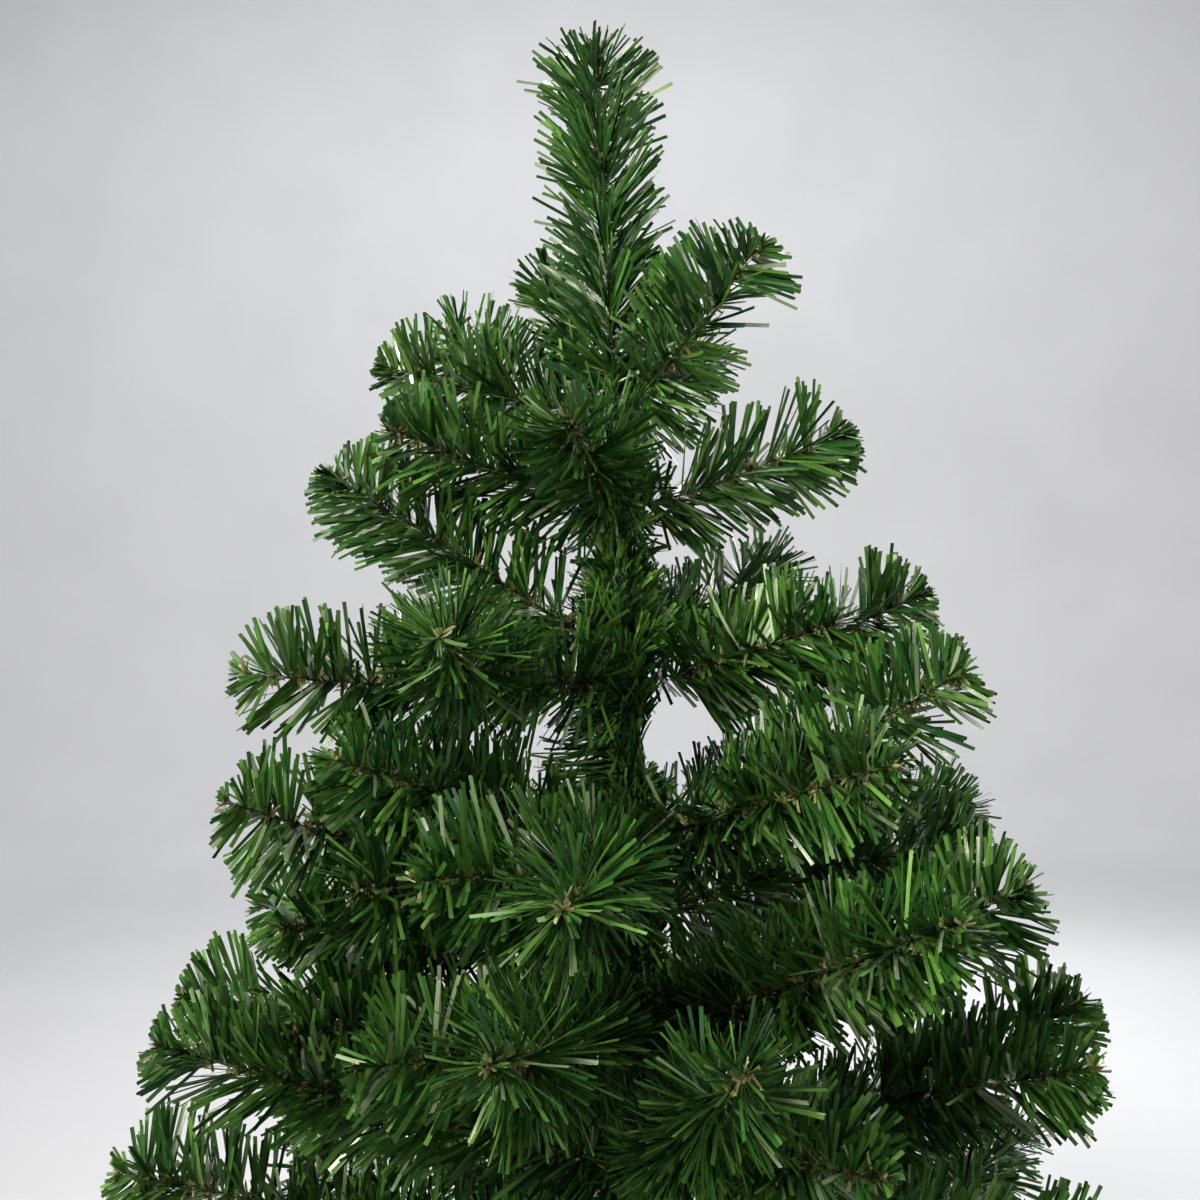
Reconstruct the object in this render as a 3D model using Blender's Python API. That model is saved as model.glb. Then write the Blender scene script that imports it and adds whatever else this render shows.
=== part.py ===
"""An artificial Christmas tree, 1.2 m tall, on a steel pole in a moulded stand.

Metres, +Z up. The origin is on the floor, under the middle of the pole. Every bough is a length of twisted
wire with a brush of needles round it, hooked into a collar on the pole. Each brush is one solid: a slim core
with rings of forward-swept teeth, each of which stands for a bunch of needles.
"""

import math
import random

import bmesh
import bpy
from mathutils import Vector, kdtree

HEIGHT = 1.20
GAP = 0.0003  # between pieces that touch

# Needle brushes
BRUSH_RADIUS = 0.034
CORE_RADIUS = 0.0046  # slim core at the foot of the teeth
CORE_TIP_RADIUS = 0.0030
CORE_SIDES = 5
TOOTH_PITCH = 0.0215
TOOTH_SWEEP = 50  # degrees between a tooth and its wire
TWIST = 36  # degrees from one ring of teeth to the next
TIP_REACH = 0.010  # how far the needles stand past the end of the wire
TIP_ROUNDING = 0.022  # how far the edge of the brush lies behind that
TOOTH_SHARES = (1.0, 0.86, 0.72, 0.58, 0.44, 0.32)  # lengths tried until a tooth fits its space
BARE_WIRE = 0.024  # at the root of a bough
LIMB_BARE_WIRE = 0.009  # between a limb and the needles
LEADER_BARE_WIRE = 0.016
SPACE_BETWEEN = 0.0012  # kept clear between two brushes
WIRE_RADIUS = 0.0022
SIDE_WIRE_RADIUS = 0.0017
SIDE_LENGTH = 0.110
SIDE_PLACE = 0.40  # of the first side twig, as a share of its bough
SIDE_STEP = 0.14  # to the next one
SIDE_START = 0.018  # bare wire at the root of a side twig

# Pole
POLE_RADIUS = 0.0095
UPPER_POLE_RADIUS = 0.0080
POLE_FOOT = 0.012
POLE_TOP = 0.994
SLEEVE_RADIUS = 0.0108
SLEEVE_LENGTH = 0.050
JOINT_HEIGHT = 0.625  # where the upper section plugs into the lower one
COLLAR_RADIUS = 0.0130
COLLAR_HEIGHT = 0.012
POLE_SIDES = 12
LIMB_LENGTH = 0.050
LIMB_ROOT_RADIUS = 0.0030

# Stand
HUB_HEIGHT = 0.125
HUB_FLOOR = POLE_FOOT - GAP  # top of the web that the pole stands on
HUB_CLEAR = 0.005  # underside of the hub above the floor
HUB_HALF_WIDTH = 0.028
NECK_HALF_WIDTH = 0.0165
SHOULDER_FOOT = 0.052  # where the hub narrows to its neck
SHOULDER_TOP = 0.074
LEG_REACH = 0.200
LEG_WIDTH = 0.024
LEG_ROOT_HEIGHT = 0.046
KNOB_HEIGHT = 0.102
KNOB_RADIUS = 0.012

# Tiers from the top: height of the collar, side twigs on a bough that has none of its own, and the boughs as
# they are bent out by hand: compass direction, rise, bend along the wire (degrees, 0 is +X and 90 is +Y)
# and length of the wire. A fifth entry lists side twigs: place along the wire, turn, rise and length.
TIERS = {
    "a": (0.985, 0, (
        (339, 47, 0, 0.114),
        (131, 66, 0, 0.105),
        (180, 15, 8, 0.122, ((0.35, -42, 42, 0.075),)),
        (62, 26, 0, 0.120),
    )),
    "b": (0.930, 0, (
        (0, 18, 10, 0.124),
        (205, 20, 0, 0.126),
        (259, 17, 0, 0.118),
        (100, 22, 0, 0.125),
    )),
    "c": (0.852, 0, (
        (187, 35, 0, 0.180),
        (50, 16, 10, 0.165),
        (88, 14, 10, 0.165),
    )),
    "d": (0.832, 1, (
        (207, 5, 10, 0.200, ((0.38, 60, 15, 0.115),)),
        (0, 15, 22, 0.166, ((0.12, -47, 14, 0.110),)),
        (140, 8, 6, 0.190),
    )),
    "e": (0.737, 1, (
        (323, 28, 0, 0.210, ((0.12, -19, 17, 0.164),)),
        (262, 5, 0, 0.220),
        (222, 22, 0, 0.190),
        (55, 10, 8, 0.220),
    )),
    "f": (0.697, 1, (
        (207, 23, 0, 0.230),
        (24, 10, 4, 0.232),
        (172, 2, 6, 0.212),
        (115, 8, 8, 0.225),
    )),
    "g": (0.633, 1, (
        (321, 26, 10, 0.240, ((0.12, -19, 25, 0.217),)),
        (187, 9, 0, 0.240),
        (255, 16, 0, 0.240),
        (50, 12, 8, 0.240),
        (105, 12, 8, 0.240),
    )),
    "h": (0.556, 1, (
        (0, 19, 20, 0.254, ((0.50, -41, 19, 0.128),)),
        (205, 25, 0, 0.272),
        (279, 31, 0, 0.262),
        (75, 14, 8, 0.265),
        (140, 14, 8, 0.265),
    )),
    "i": (0.505, 1, (
        (187, 15, 6, 0.285),
        (335, 9, 4, 0.240),
        (235, 10, 8, 0.285),
        (40, 12, 8, 0.280),
        (108, 12, 8, 0.285),
    )),
    "j": (0.420, 2, tuple((36 + 72 * k, 10, 8, 0.340) for k in range(5))),
    "k": (0.335, 2, tuple((72 * k, 6, 10, 0.345) for k in range(5))),
}
LIMB_TIER = "k"  # its boughs start with a bare limb
LEADER_LENGTH = HEIGHT - TIP_REACH - POLE_TOP - GAP

PATH_STEPS = 12  # points along a wire

chance = random.Random(11)


def clear_scene():
    for thing in list(bpy.data.objects):
        bpy.data.objects.remove(thing, do_unlink=True)


def material(name, colour, roughness, metallic=0.0):
    """A plain finish; the colour is linear RGB."""
    made = bpy.data.materials.new(name)
    made.use_nodes = True
    shader = made.node_tree.nodes["Principled BSDF"]
    shader.inputs["Base Color"].default_value = (*colour, 1.0)
    shader.inputs["Roughness"].default_value = roughness
    shader.inputs["Metallic"].default_value = metallic
    made.diffuse_color = (*colour, 1.0)
    return made


def add_object(name, shape, finish, collection=None, round_piece=False):
    """Turns a bmesh into a named object."""
    bmesh.ops.recalc_face_normals(shape, faces=shape.faces)
    mesh = bpy.data.meshes.new(name)
    shape.to_mesh(mesh)
    shape.free()
    if finish:
        mesh.materials.append(finish)
    if round_piece:
        mesh.shade_smooth()
        mesh.set_sharp_from_angle(angle=math.radians(35))
    made = bpy.data.objects.new(name, mesh)
    (collection or bpy.context.scene.collection).objects.link(made)
    return made


def polar(radius, heading, z):
    angle = math.radians(heading)
    return Vector((radius * math.cos(angle), radius * math.sin(angle), z))


def wire_path(start, heading, rise, bend, length):
    """Points along a wire that leaves start with its chord at this rise and bends evenly along its length."""
    points = [start]
    for i in range(PATH_STEPS):
        slope = math.radians(rise + bend * ((i + 0.5) / PATH_STEPS - 0.5))
        stride = polar(math.cos(slope), heading, math.sin(slope)) * (length / PATH_STEPS)
        points.append(points[-1] + stride)
    return points


def place_on(path, distance):
    """Point and direction at this distance along a path."""
    step = (path[1] - path[0]).length
    i = min(int(distance / step), len(path) - 2)
    direction = (path[i + 1] - path[i]).normalized()
    return path[i] + direction * (distance - i * step), direction


def part_of(path, first, last, steps):
    """The stretch of a path between two distances along it."""
    return [place_on(path, first + (last - first) * i / steps)[0] for i in range(steps + 1)]


def across(direction):
    """Two directions square to this one, the first of them level."""
    level = direction.cross(Vector((0, 0, 1)))
    level = level.normalized() if level.length > 0.01 else Vector((1, 0, 0))
    return level, direction.cross(level)


def ring_points(centre, direction, radius, sides, turn=0.0):
    level, up = across(direction)
    angles = [2 * math.pi * k / sides + turn for k in range(sides)]
    return [centre + radius * (math.cos(a) * level + math.sin(a) * up) for a in angles]


def tube(shape, rings):
    """Skins a row of rings and closes both ends."""
    rows = [[shape.verts.new(p) for p in ring] for ring in rings]
    for low, high in zip(rows, rows[1:]):
        for k in range(len(low)):
            m = (k + 1) % len(low)
            shape.faces.new((low[k], low[m], high[m], high[k]))
    shape.faces.new(rows[0][::-1])
    shape.faces.new(rows[-1])


def turned(shape, profile, sides):
    """Skins a profile of (radius, height) turned about the Z axis."""
    tube(shape, [[polar(r, 360 * k / sides, z) for k in range(sides)] for r, z in profile])


def collar_reach(heading):
    """How far the many-sided collar reaches towards this heading."""
    half = 180 / POLE_SIDES
    off = (heading + half) % (2 * half) - half
    return COLLAR_RADIUS * math.cos(math.radians(off))


def flat_root(path, radius, sides):
    """First ring of a wire, cut upright so that it lies flat before the collar."""
    direction = (path[1] - path[0]).normalized()
    outward = Vector((direction.x, direction.y, 0)).normalized()
    ring = ring_points(path[0], direction, radius, sides)
    return [p - direction * ((p - path[0]).dot(outward) / direction.dot(outward)) for p in ring]


def side_twigs(path, length, given, count, taken):
    """Side twigs of a bough: those given, or as many as its tier has, to the side that has room for them."""
    if not given:
        first = chance.choice((-1, 1))
        given = []
        for j in range(count):
            turn = first * (-1) ** j * chance.uniform(36, 46)
            rise = chance.uniform(4, 12)
            size = SIDE_LENGTH * chance.uniform(0.92, 1.08)
            given.append((SIDE_PLACE + SIDE_STEP * j, turn, rise, size))
    twigs = []
    for share, turn, rise, size in given:
        start, direction = place_on(path, share * length)
        heading = math.degrees(math.atan2(direction.y, direction.x))
        for side in (turn, -turn):
            twig = wire_path(start, heading + side, rise, 0, size)
            if has_room(twig, taken):
                twigs.append({"path": twig, "length": size, "radius": SIDE_WIRE_RADIUS, "start": SIDE_START})
                break
    return twigs


def has_room(path, taken):
    """Whether a new wire keeps its core clear of the wires before it."""
    tree = tree_of(taken)
    return all(tree.find(p)[2] > 2 * CORE_RADIUS + 2 * SPACE_BETWEEN for p in sample(path))


def plan_tree():
    """Every mass as a list of wires, the main one first, and every limb as a path."""
    top = Vector((0, 0, POLE_TOP + GAP))
    leader = {"path": wire_path(top, 0, 90, 0, LEADER_LENGTH), "length": LEADER_LENGTH,
              "radius": WIRE_RADIUS, "at_collar": False, "start": LEADER_BARE_WIRE}
    masses = {"leader": [leader]}
    limbs = {}
    given = {}
    counts = {}
    for tier, (height, count, boughs) in TIERS.items():
        for k, (heading, rise, bend, length, *twigs) in enumerate(boughs, 1):
            root = polar(collar_reach(heading) + GAP, heading, height)
            path = wire_path(root, heading, rise, bend, length)
            name = f"bough_{tier}{k}"
            if tier == LIMB_TIER:
                limbs[f"limb_{tier}{k}"] = part_of(path, 0, LIMB_LENGTH, 3)
                path = part_of(path, LIMB_LENGTH + GAP, length, PATH_STEPS)
                length -= LIMB_LENGTH + GAP
            main = {"path": path, "length": length, "radius": WIRE_RADIUS, "at_collar": tier != LIMB_TIER}
            main["start"] = BARE_WIRE if main["at_collar"] else LIMB_BARE_WIRE
            masses[name] = [main]
            given[name] = twigs[0] if twigs else ()
            counts[name] = count
    for name in given:
        main = masses[name][0]
        others = [wire for other, mass in masses.items() if other != name for wire in mass]
        taken = [p for wire in others for p in sample(wire["path"])]
        masses[name] += side_twigs(main["path"], main["length"], given[name], counts[name], taken)
    return masses, limbs


def sample(path, spacing=0.003):
    found = []
    for a, b in zip(path, path[1:]):
        steps = max(1, math.ceil((b - a).length / spacing))
        found += [a.lerp(b, i / steps) for i in range(steps)]
    return found + [path[-1]]


def tree_of(points):
    made = kdtree.KDTree(len(points))
    for i, p in enumerate(points):
        made.insert(p, i)
    made.balance()
    return made


def pole_radius_at(z):
    if any(abs(z - height) < COLLAR_HEIGHT for height, _, _ in TIERS.values()):
        return COLLAR_RADIUS
    return SLEEVE_RADIUS if z < JOINT_HEIGHT + 0.01 else UPPER_POLE_RADIUS


class Space:
    """Tells how near other wires, limbs and the pole are to a point."""

    def __init__(self, masses, limbs):
        self.own = {}
        self.others = {}
        wires = [wire for mass in masses.values() for wire in mass]
        samples = [sample(wire["path"]) for wire in wires]
        for i, wire in enumerate(wires):
            self.own[id(wire)] = tree_of(samples[i])
            rest = [p for j, s in enumerate(samples) if j != i for p in s]
            self.others[id(wire)] = tree_of(rest)
        self.limbs = tree_of([p for limb in limbs.values() for p in sample(limb)])

    def free(self, wire, p, room=SPACE_BETWEEN):
        """Whether a point is in this wire's own space."""
        own = self.own[id(wire)].find(p)[2]
        if self.others[id(wire)].find(p)[2] < own + room:
            return False
        if self.limbs.find(p)[2] < LIMB_ROOT_RADIUS + room:
            return False
        return math.hypot(p.x, p.y) > pole_radius_at(p.z) + room or p.z > POLE_TOP + room


def first_clear(space, wire, distance):
    """Where along the wire its core no longer touches the core of another."""
    while distance < wire["length"] - TOOTH_PITCH:
        p = place_on(wire["path"], distance)[0]
        if space.others[id(wire)].find(p)[2] > 2 * CORE_RADIUS + SPACE_BETWEEN:
            return distance
        distance += 0.002
    return None


def tooth_tip(space, wire, corners, centre, direction):
    """Tip of the tooth on one face of the core, as long as the brush and its own space let it be."""
    middle = sum(corners, Vector()) / 4
    outward = middle - centre
    outward = (outward - direction * outward.dot(direction)).normalized()
    sweep = math.radians(TOOTH_SWEEP + chance.uniform(-5, 5))
    way = outward * math.sin(sweep) + direction * math.cos(sweep)
    full = (BRUSH_RADIUS - CORE_RADIUS) / math.sin(sweep) * chance.uniform(0.90, 1.0)
    end, end_direction = place_on(wire["path"], wire["length"])
    for share in TOOTH_SHARES:
        tip = middle + way * full * share
        past = (tip - end).dot(end_direction)
        wide = ((tip - end) - end_direction * past).length
        # the end of the brush is rounded
        if past > TIP_REACH - TIP_ROUNDING * (wide / BRUSH_RADIUS) ** 2:
            continue
        edges = [corner.lerp(tip, part) for corner in corners for part in (0.15, 0.4, 0.6, 0.8, 1.0)]
        if all(space.free(wire, p) for p in edges):
            return tip
    return None


def brush(space, wire, start):
    """The core and teeth round one wire, from start to its tip."""
    shape = bmesh.new()
    run = wire["length"] - start
    count = max(2, round(run / TOOTH_PITCH))
    centres, rows = [], []
    for i in range(count + 1):
        centre, direction = place_on(wire["path"], start + run * i / count)
        radius = CORE_RADIUS + (CORE_TIP_RADIUS - CORE_RADIUS) * i / count
        ring = ring_points(centre, direction, radius, CORE_SIDES, math.radians(TWIST) * i)
        centres.append((centre, direction))
        rows.append([shape.verts.new(p) for p in ring])
    for i in range(count):
        centre = (centres[i][0] + centres[i + 1][0]) / 2
        for k in range(CORE_SIDES):
            m = (k + 1) % CORE_SIDES
            corners = (rows[i][k], rows[i][m], rows[i + 1][m], rows[i + 1][k])
            tip = tooth_tip(space, wire, [v.co for v in corners], centre, centres[i][1])
            if tip is None:
                shape.faces.new(corners[:3])
                shape.faces.new((corners[0], corners[2], corners[3]))
                continue
            point = shape.verts.new(tip)
            for a in range(4):
                shape.faces.new((corners[a], corners[(a + 1) % 4], point))
    shape.faces.new(rows[0][::-1])
    end = shape.verts.new(centres[-1][0] + centres[-1][1] * TIP_REACH)
    for k in range(CORE_SIDES):
        shape.faces.new((rows[-1][k], rows[-1][(k + 1) % CORE_SIDES], end))
    return shape


def bare_wire(wire, until, root_ring=None):
    """A three-sided wire from its root to a place inside its brush."""
    rings = []
    for i in range(3):
        centre, direction = place_on(wire["path"], until * i / 2)
        rings.append(ring_points(centre, direction, wire["radius"], 3))
    if root_ring:
        rings[0] = root_ring
    shape = bmesh.new()
    tube(shape, rings)
    return shape


def join(name, first, shapes, finish):
    """One Boolean union of the first shape with all the others."""
    made = add_object(name, first, finish)
    helpers = bpy.data.collections.new(name + "_parts")
    for i, shape in enumerate(shapes):
        add_object(f"{name}_{i}", shape, finish, helpers)
    union = made.modifiers.new("union", "BOOLEAN")
    union.operation = "UNION"
    union.operand_type = "COLLECTION"
    union.collection = helpers
    union.solver = "EXACT"
    union.use_self = False
    graph = bpy.context.evaluated_depsgraph_get()
    joined = bpy.data.meshes.new_from_object(made.evaluated_get(graph))
    made.modifiers.clear()
    made.data = joined
    joined.name = name
    for helper in list(helpers.objects):
        bpy.data.objects.remove(helper, do_unlink=True)
    bpy.data.collections.remove(helpers)
    return made


def make_mass(space, name, wires, finish):
    """One mass of needles: its wires, and the brush round each of them."""
    main = wires[0]
    start = first_clear(space, main, main["start"])
    root = flat_root(main["path"], main["radius"], 3) if main["at_collar"] else None
    first = bare_wire(main, start + TOOTH_PITCH * 0.6, root)
    shapes = [brush(space, main, start)]
    for wire in wires[1:]:
        start = first_clear(space, wire, wire["start"])
        if start is None:
            continue
        shapes.append(bare_wire(wire, start + TOOTH_PITCH * 0.6))
        shapes.append(brush(space, wire, start))
    return join(name, first, shapes, finish)


def make_limb(name, path, finish):
    rings = [flat_root(path, LIMB_ROOT_RADIUS, 6)]
    for i in range(1, len(path)):
        direction = (path[i] - path[i - 1]).normalized()
        radius = LIMB_ROOT_RADIUS + (WIRE_RADIUS - LIMB_ROOT_RADIUS) * i / (len(path) - 1)
        rings.append(ring_points(path[i], direction, radius, 6))
    shape = bmesh.new()
    tube(shape, rings)
    return add_object(name, shape, finish, round_piece=True)


def make_pole(finish):
    """Two sections of steel tube and the collars that carry the boughs, turned in one."""
    profile = [(POLE_RADIUS, POLE_FOOT), (POLE_RADIUS, JOINT_HEIGHT - SLEEVE_LENGTH)]
    profile += [(SLEEVE_RADIUS, JOINT_HEIGHT - SLEEVE_LENGTH), (SLEEVE_RADIUS, JOINT_HEIGHT)]
    profile += [(UPPER_POLE_RADIUS, JOINT_HEIGHT), (UPPER_POLE_RADIUS, POLE_TOP)]
    for height, _, _ in TIERS.values():
        low, high = height - COLLAR_HEIGHT / 2, height + COLLAR_HEIGHT / 2
        i = max(n for n, (_, z) in enumerate(profile) if z <= low)
        inner = profile[i][0]
        profile[i + 1:i + 1] = [(inner, low), (COLLAR_RADIUS, low), (COLLAR_RADIUS, high), (inner, high)]
    shape = bmesh.new()
    turned(shape, profile, POLE_SIDES)
    return add_object("pole", shape, finish, round_piece=True)


def bevel(target, width, segments=1):
    modifier = target.modifiers.new("edges", "BEVEL")
    modifier.width = width
    modifier.segments = segments
    modifier.limit_method = "ANGLE"
    modifier.angle_limit = math.radians(30)


def make_hub(finish):
    """Eight-sided moulded socket, with flats for the four legs and a bore for the pole."""
    outward = 1 / math.cos(math.pi / 8)
    outline = ((HUB_HALF_WIDTH, HUB_CLEAR), (HUB_HALF_WIDTH, SHOULDER_FOOT),
               (NECK_HALF_WIDTH, SHOULDER_TOP), (NECK_HALF_WIDTH, HUB_HEIGHT))
    rings = [[polar(half * outward, 22.5 + 45 * k, z) for k in range(8)] for half, z in outline]
    shape = bmesh.new()
    tube(shape, rings)
    hub = add_object("stand_hub", shape, finish)
    bevel(hub, 0.0012)
    shape = bmesh.new()
    turned(shape, [(POLE_RADIUS + 0.0004, HUB_FLOOR), (POLE_RADIUS + 0.0004, HUB_HEIGHT + 0.01)], 24)
    cutter = add_object("bore_cutter", shape, None)
    cutter.hide_render = True
    cutter.display_type = "WIRE"
    bore = hub.modifiers.new("bore", "BOOLEAN")
    bore.object = cutter
    return hub


def make_legs(finish):
    """Four arched legs with flat feet, butted to the flats of the hub."""
    root = HUB_HALF_WIDTH + GAP
    outline = ((root, 0.010), (root, LEG_ROOT_HEIGHT), (root + 0.030, LEG_ROOT_HEIGHT - 0.006),
               (LEG_REACH - 0.010, 0.016), (LEG_REACH, 0.010), (LEG_REACH, 0.0),
               (LEG_REACH - 0.036, 0.0), (LEG_REACH - 0.048, 0.010))
    shape = bmesh.new()
    sides = [[shape.verts.new((x, y, z)) for x, z in outline] for y in (-LEG_WIDTH / 2, LEG_WIDTH / 2)]
    count = len(outline)
    for k in range(count):
        m = (k + 1) % count
        shape.faces.new((sides[0][k], sides[0][m], sides[1][m], sides[1][k]))
    shape.faces.new(sides[0])
    shape.faces.new(sides[1])
    first = add_object("stand_leg_1", shape, finish)
    bevel(first, 0.0015)
    for k in range(1, 4):
        leg = bpy.data.objects.new(f"stand_leg_{k + 1}", first.data)
        leg.rotation_euler.z = math.radians(90 * k)
        bpy.context.scene.collection.objects.link(leg)
        bevel(leg, 0.0015)


def make_knob(finish):
    """Clamping knob on the neck of the hub: a short shank and a round grip."""
    root = NECK_HALF_WIDTH + GAP
    profile = ((0.0035, root), (0.0035, root + 0.010), (KNOB_RADIUS, root + 0.013),
               (KNOB_RADIUS, root + 0.021), (KNOB_RADIUS - 0.003, root + 0.023))
    shape = bmesh.new()
    turned(shape, profile, 16)
    knob = add_object("stand_knob", shape, finish, round_piece=True)
    knob.rotation_euler = (math.radians(90), 0, 0)
    knob.location = (0, 0, KNOB_HEIGHT)


def main():
    clear_scene()
    needles = material("needles", (0.025, 0.140, 0.022), 0.45)
    twisted_wire = material("twisted_wire", (0.030, 0.028, 0.018), 0.50, 0.5)
    green_steel = material("green_steel", (0.010, 0.045, 0.015), 0.40, 0.4)
    green_plastic = material("green_plastic", (0.010, 0.050, 0.016), 0.45)
    masses, limbs = plan_tree()
    space = Space(masses, limbs)
    for name, wires in masses.items():
        make_mass(space, name, wires, needles)
    for name, path in limbs.items():
        make_limb(name, path, twisted_wire)
    make_pole(green_steel)
    make_hub(green_plastic)
    make_legs(green_plastic)
    make_knob(green_plastic)


main()
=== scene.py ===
# The looks of a 1.2 m artificial Christmas tree: brushes of cut PVC film on twisted wire, hooked in tiers
# on a steel pole in a moulded stand. Metres, +Z up, the origin on the floor under the pole.
import math
import random

import bmesh
import bpy
import numpy as np
from mathutils import Matrix, Vector, kdtree


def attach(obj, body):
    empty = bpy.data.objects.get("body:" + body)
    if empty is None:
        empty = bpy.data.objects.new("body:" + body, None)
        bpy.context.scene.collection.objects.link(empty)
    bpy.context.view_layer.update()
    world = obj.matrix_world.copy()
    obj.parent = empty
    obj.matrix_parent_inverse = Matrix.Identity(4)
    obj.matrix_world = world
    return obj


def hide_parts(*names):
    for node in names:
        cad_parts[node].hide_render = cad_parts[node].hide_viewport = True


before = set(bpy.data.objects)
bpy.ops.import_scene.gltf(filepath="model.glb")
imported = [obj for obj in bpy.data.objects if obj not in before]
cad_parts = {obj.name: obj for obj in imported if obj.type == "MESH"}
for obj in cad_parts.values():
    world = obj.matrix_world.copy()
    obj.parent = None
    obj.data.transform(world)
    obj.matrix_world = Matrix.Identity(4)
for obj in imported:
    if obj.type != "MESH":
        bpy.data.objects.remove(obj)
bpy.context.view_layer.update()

gap = 0.0003  # between pieces that touch


# Small helpers

def linear(hexColour, alpha=1.0):
    channels = [int(hexColour[i:i + 2], 16) / 255 for i in (1, 3, 5)]
    return (*(c / 12.92 if c <= 0.04045 else ((c + 0.055) / 1.055) ** 2.4 for c in channels), alpha)


def addNode(tree, kind, settings=None, **links):
    # settings go to the node's own values or, where it has a socket of that name, to that socket
    node = tree.nodes.new(kind)
    for key, value in (settings or {}).items():
        if key in node.inputs:
            node.inputs[key].default_value = value
        else:
            setattr(node, key, value)
    for key, source in links.items():
        tree.links.new(source, node.inputs[key.replace("_", " ")])
    return node


def newMaterial(name):
    made = bpy.data.materials.new(name)
    made.use_nodes = True
    return made, made.node_tree, made.node_tree.nodes["Principled BSDF"]


def setShader(shader, **values):
    for key, value in values.items():
        shader.inputs[key.replace("_", " ")].default_value = value


def colourRamp(tree, stops, factor):
    ramp = addNode(tree, "ShaderNodeValToRGB", Fac=factor)
    while len(ramp.color_ramp.elements) < len(stops):
        ramp.color_ramp.elements.new(0.5)
    for element, (place, hexColour) in zip(ramp.color_ramp.elements, stops):
        element.position = place
        element.color = linear(hexColour)
    return ramp.outputs["Color"]


def meshFromArrays(name, points, faces, finish, uv=None, smooth=True):
    # faces all have the same number of corners
    mesh = bpy.data.meshes.new(name)
    corners = faces.shape[1]
    mesh.vertices.add(len(points))
    mesh.vertices.foreach_set("co", points.astype(np.float32).ravel())
    mesh.loops.add(faces.size)
    mesh.loops.foreach_set("vertex_index", faces.astype(np.int32).ravel())
    mesh.polygons.add(len(faces))
    mesh.polygons.foreach_set("loop_start", np.arange(0, faces.size, corners, dtype=np.int32))
    mesh.polygons.foreach_set("use_smooth", np.full(len(faces), smooth))
    if uv is not None:
        layer = mesh.uv_layers.new(name="strip")
        layer.uv.foreach_set("vector", uv[faces.ravel()].astype(np.float32).ravel())
    mesh.update(calc_edges=True)
    mesh.validate()
    mesh.materials.append(finish)
    return addObject(name, mesh)


def addObject(name, mesh):
    made = bpy.data.objects.new(name, mesh)
    bpy.context.scene.collection.objects.link(made)
    return made


def meshFromShape(name, shape, finish, sharpAngle=35):
    bmesh.ops.recalc_face_normals(shape, faces=shape.faces)
    mesh = bpy.data.meshes.new(name)
    shape.to_mesh(mesh)
    shape.free()
    mesh.materials.append(finish)
    mesh.shade_smooth()
    mesh.set_sharp_from_angle(angle=math.radians(sharpAngle))
    return addObject(name, mesh)


def skinRows(shape, rows, closed=False):
    # faces between rows of as many vertices each; a row that is one vertex over again closes the shape
    pairs = zip(rows, rows[1:] + rows[:1]) if closed else zip(rows, rows[1:])
    for low, high in pairs:
        for k in range(len(low)):
            m = (k + 1) % len(low)
            corners = []
            for vertex in (low[k], low[m], high[m], high[k]):
                if vertex not in corners:
                    corners.append(vertex)
            if len(corners) > 2:
                shape.faces.new(corners)


def ringOf(shape, radius, z, sides, first=0.0):
    # a ring of vertices about the Z axis, or one vertex over again where the radius is 0
    if radius == 0:
        return [shape.verts.new((0, 0, z))] * sides
    return [shape.verts.new(polar(radius, first + 360 * k / sides, z)) for k in range(sides)]


def standsFor(piece, nodes):
    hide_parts(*nodes)
    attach(piece, "root")
    return piece


# The plan of the wires: the same tiers and the same rule as the solids

tierPlan = {
    # tier: height of the collar, side twigs on a bough that has none of its own, and its boughs: heading,
    # rise and bend in degrees, length, and side twigs as place along the wire, turn, rise and length
    "a": (0.985, 0, (
        (339, 47, 0, 0.114),
        (131, 66, 0, 0.105),
        (180, 15, 8, 0.122, ((0.35, -42, 42, 0.075),)),
        (62, 26, 0, 0.120),
    )),
    "b": (0.930, 0, (
        (0, 18, 10, 0.124),
        (205, 20, 0, 0.126),
        (259, 17, 0, 0.118),
        (100, 22, 0, 0.125),
    )),
    "c": (0.852, 0, (
        (187, 35, 0, 0.180),
        (50, 16, 10, 0.165),
        (88, 14, 10, 0.165),
    )),
    "d": (0.832, 1, (
        (207, 5, 10, 0.200, ((0.38, 60, 15, 0.115),)),
        (0, 15, 22, 0.166, ((0.12, -47, 14, 0.110),)),
        (140, 8, 6, 0.190),
    )),
    "e": (0.737, 1, (
        (323, 28, 0, 0.210, ((0.12, -19, 17, 0.164),)),
        (262, 5, 0, 0.220),
        (222, 22, 0, 0.190),
        (55, 10, 8, 0.220),
    )),
    "f": (0.697, 1, (
        (207, 23, 0, 0.230),
        (24, 10, 4, 0.232),
        (172, 2, 6, 0.212),
        (115, 8, 8, 0.225),
    )),
    "g": (0.633, 1, (
        (321, 26, 10, 0.240, ((0.12, -19, 25, 0.217),)),
        (187, 9, 0, 0.240),
        (255, 16, 0, 0.240),
        (50, 12, 8, 0.240),
        (105, 12, 8, 0.240),
    )),
    "h": (0.556, 1, (
        (0, 19, 20, 0.254, ((0.50, -41, 19, 0.128),)),
        (205, 25, 0, 0.272),
        (279, 31, 0, 0.262),
        (75, 14, 8, 0.265),
        (140, 14, 8, 0.265),
    )),
    "i": (0.505, 1, (
        (187, 15, 6, 0.285),
        (335, 9, 4, 0.240),
        (235, 10, 8, 0.285),
        (40, 12, 8, 0.280),
        (108, 12, 8, 0.285),
    )),
    "j": (0.420, 2, tuple((36 + 72 * k, 10, 8, 0.340) for k in range(5))),
    "k": (0.335, 2, tuple((72 * k, 6, 10, 0.345) for k in range(5))),
}
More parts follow.
